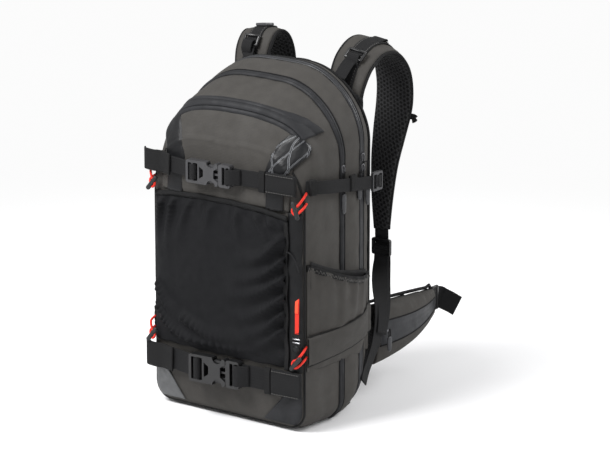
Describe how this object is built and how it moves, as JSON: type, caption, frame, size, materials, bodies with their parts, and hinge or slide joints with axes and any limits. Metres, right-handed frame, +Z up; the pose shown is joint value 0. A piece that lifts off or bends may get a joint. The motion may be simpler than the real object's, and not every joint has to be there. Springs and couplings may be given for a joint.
{
  "type": "ski backpack",
  "caption": "Panel-loading ski and snowboard daypack with an arched double zip, stretch front pocket, front straps, shoulder harness and hip belt wings.",
  "frame": {"origin": "centre of the flat base panel, on its underside", "axes": "+Z up, +X to the wearer's left, -Y out of the front face, +Y towards the wearer's back"},
  "size_m": [0.345, 0.4514, 0.5533],
  "materials": {
    "olive_fabric": "matte woven",
    "black_mesh": "matte spacer mesh",
    "stretch_fabric": "matte knit",
    "coated_fabric": "glossy film",
    "zip_tape": "satin film",
    "webbing": "matte ribbed",
    "red_cord": "matte",
    "grey_plastic": "satin",
    "black_plastic": "satin",
    "puller_rubber": "matte",
    "slider_metal": "satin",
    "frame_plastic": "matte",
    "aluminium_stay": "satin"
  },
  "bodies": {
    "bag": {"base_panel": "coated_fabric", "back_panel": "black_mesh", "rear_gusset": "olive_fabric", "main_zip_tape": "zip_tape", "middle_gusset": "olive_fabric", "front_zip_tape": "zip_tape", "front_gusset": "olive_fabric", "front_panel": "olive_fabric", "goggle_zip_tape": "zip_tape", "coated_patches": "coated_fabric", "stretch_pocket": "stretch_fabric", "pocket_binding": "webbing", "frame_sheet": "frame_plastic", "frame_stays": "aluminium_stay", "hydration_sleeve": "stretch_fabric", "back_pads": "black_mesh", "strap_yoke": "webbing", "side_pockets": "olive_fabric", "side_bands": "olive_fabric", "compression_straps": "webbing", "compression_ladders": "grey_plastic", "strap_sleeves": "webbing", "anchor_webbing": "webbing", "adjuster_webbing": "webbing", "gear_loops": "red_cord", "pull_tab": "red_cord", "upper_socket": "grey_plastic", "lower_socket": "black_plastic"},
    "haul_handle": {"haul_handle": "webbing"},
    "left_shoulder": {"left_shoulder_strap": "black_mesh", "left_adjuster": "black_plastic"},
    "right_shoulder": {"right_shoulder_strap": "black_mesh", "right_adjuster": "black_plastic"},
    "left_hip": {"left_hip_wing": "black_mesh", "left_hip_pocket": "olive_fabric", "left_belt_end": "webbing"},
    "right_hip": {"right_hip_wing": "black_mesh", "right_hip_pocket": "olive_fabric", "right_belt_end": "webbing"},
    "left_hip_puller": {"left_hip_puller": "puller_rubber"},
    "right_hip_puller": {"right_hip_puller": "puller_rubber"},
    "upper_clip": {"upper_tongue": "grey_plastic", "upper_tongue_webbing": "webbing"},
    "upper_prong_top": {"upper_prong_top": "grey_plastic"},
    "upper_prong_low": {"upper_prong_low": "grey_plastic"},
    "lower_clip": {"lower_tongue": "black_plastic", "lower_tongue_webbing": "webbing"},
    "lower_prong_top": {"lower_prong_top": "black_plastic"},
    "lower_prong_low": {"lower_prong_low": "black_plastic"},
    "main_upper_slider": {"main_upper_slider": "slider_metal"},
    "main_upper_puller": {"main_upper_puller": "puller_rubber"},
    "main_lower_slider": {"main_lower_slider": "slider_metal"},
    "main_lower_puller": {"main_lower_puller": "puller_rubber"},
    "front_slider": {"front_zip_slider": "slider_metal"},
    "front_puller": {"front_zip_puller": "puller_rubber"},
    "goggle_puller": {"goggle_zip_puller": "puller_rubber"},
    "toggle_upper_right": {"toggle_upper_right": "black_plastic"},
    "toggle_upper_left": {"toggle_upper_left": "black_plastic"},
    "toggle_lower_right": {"toggle_lower_right": "black_plastic"},
    "toggle_lower_left": {"toggle_lower_left": "black_plastic"}
  },
  "joints": [
    {"name": "haul_handle_swing", "type": "hinge", "parent": "bag", "child": "haul_handle", "pos_m": [0, 0.0938, 0.49], "axis": [1, 0, 0], "range_deg": [-75, 5]},
    {"name": "right_shoulder_swing", "type": "hinge", "parent": "bag", "child": "right_shoulder", "pos_m": [0.085, 0.097, 0.474], "axis": [1, 0, 0], "range_deg": [-6, 18]},
    {"name": "left_shoulder_swing", "type": "hinge", "parent": "bag", "child": "left_shoulder", "pos_m": [-0.092, 0.097, 0.474], "axis": [1, 0, 0], "range_deg": [-6, 18]},
    {"name": "right_hip_wrap", "type": "hinge", "parent": "bag", "child": "right_hip", "pos_m": [0.105, 0.0918, 0.098], "axis": [0, 0, 1], "range_deg": [-6, 20]},
    {"name": "left_hip_wrap", "type": "hinge", "parent": "bag", "child": "left_hip", "pos_m": [-0.105, 0.0918, 0.098], "axis": [0, 0, -1], "range_deg": [-6, 20]},
    {"name": "right_hip_puller_swing", "type": "hinge", "parent": "right_hip", "child": "right_hip_puller", "pos_m": [0.142, 0.1338, 0.112], "axis": [1, 0, 0], "range_deg": [-25, 25]},
    {"name": "left_hip_puller_swing", "type": "hinge", "parent": "left_hip", "child": "left_hip_puller", "pos_m": [-0.142, 0.1338, 0.112], "axis": [1, 0, 0], "range_deg": [-25, 25]},
    {"name": "upper_clip_slide", "type": "slide", "parent": "bag", "child": "upper_clip", "axis": [0.9976, 0.0698, 0], "range_m": [0, 0.024]},
    {"name": "upper_prong_top_flex", "type": "hinge", "parent": "upper_clip", "child": "upper_prong_top", "pos_m": [0.00096, -0.10588, 0.39175], "axis": [0.0698, -0.9976, 0], "range_deg": [0, 7]},
    {"name": "upper_prong_low_flex", "type": "hinge", "parent": "upper_clip", "child": "upper_prong_low", "pos_m": [0.00096, -0.10588, 0.37425], "axis": [-0.0698, 0.9976, 0], "range_deg": [0, 7]},
    {"name": "lower_clip_slide", "type": "slide", "parent": "bag", "child": "lower_clip", "axis": [0.9976, 0.0698, 0], "range_m": [0, 0.024]},
    {"name": "lower_prong_top_flex", "type": "hinge", "parent": "lower_clip", "child": "lower_prong_top", "pos_m": [0.01036, -0.10272, 0.08775], "axis": [0.0698, -0.9976, 0], "range_deg": [0, 7]},
    {"name": "lower_prong_low_flex", "type": "hinge", "parent": "lower_clip", "child": "lower_prong_low", "pos_m": [0.01036, -0.10272, 0.06625], "axis": [-0.0698, 0.9976, 0], "range_deg": [0, 7]},
    {"name": "main_upper_slider_slide", "type": "slide", "parent": "bag", "child": "main_upper_slider", "axis": [0, 0, 1], "range_m": [0, 0.024]},
    {"name": "main_lower_slider_slide", "type": "slide", "parent": "bag", "child": "main_lower_slider", "axis": [0, 0, 1], "range_m": [-0.036, 0]},
    {"name": "main_upper_puller_swing", "type": "hinge", "parent": "main_upper_slider", "child": "main_upper_puller", "pos_m": [0.1486, 0.054, 0.3918], "axis": [1, 0, 0], "range_deg": [0, 20]},
    {"name": "main_lower_puller_swing", "type": "hinge", "parent": "main_lower_slider", "child": "main_lower_puller", "pos_m": [0.1486, 0.0436, 0.3763], "axis": [1, 0, 0], "range_deg": [-28, 0]},
    {"name": "front_slider_slide", "type": "slide", "parent": "bag", "child": "front_slider", "axis": [0, 0, 1], "range_m": [-0.036, 0.024]},
    {"name": "front_puller_swing", "type": "hinge", "parent": "front_slider", "child": "front_puller", "pos_m": [0.149, 0.004, 0.385], "axis": [1, 0, 0], "range_deg": [-28, 28]},
    {"name": "goggle_puller_swing", "type": "hinge", "parent": "bag", "child": "goggle_puller", "pos_m": [-0.112, -0.092, 0.403], "axis": [0, 1, 0], "range_deg": [-20, 10]},
    {"name": "toggle_upper_right_turn", "type": "hinge", "parent": "bag", "child": "toggle_upper_right", "pos_m": [0.135, -0.0955, 0.347], "axis": [0, 1, 0], "range_deg": [-20, 20]},
    {"name": "toggle_upper_left_turn", "type": "hinge", "parent": "bag", "child": "toggle_upper_left", "pos_m": [-0.137, -0.0945, 0.347], "axis": [0, 1, 0], "range_deg": [-20, 20]},
    {"name": "toggle_lower_right_turn", "type": "hinge", "parent": "bag", "child": "toggle_lower_right", "pos_m": [0.135, -0.0955, 0.112], "axis": [0, 1, 0], "range_deg": [-20, 20]},
    {"name": "toggle_lower_left_turn", "type": "hinge", "parent": "bag", "child": "toggle_lower_left", "pos_m": [-0.14, -0.0945, 0.108], "axis": [0, 1, 0], "range_deg": [-20, 20]}
  ],
  "couplings": [
    {"joint": "upper_prong_low_flex", "follows": "upper_prong_top_flex", "ratio": 1},
    {"joint": "lower_prong_low_flex", "follows": "lower_prong_top_flex", "ratio": 1}
  ]
}
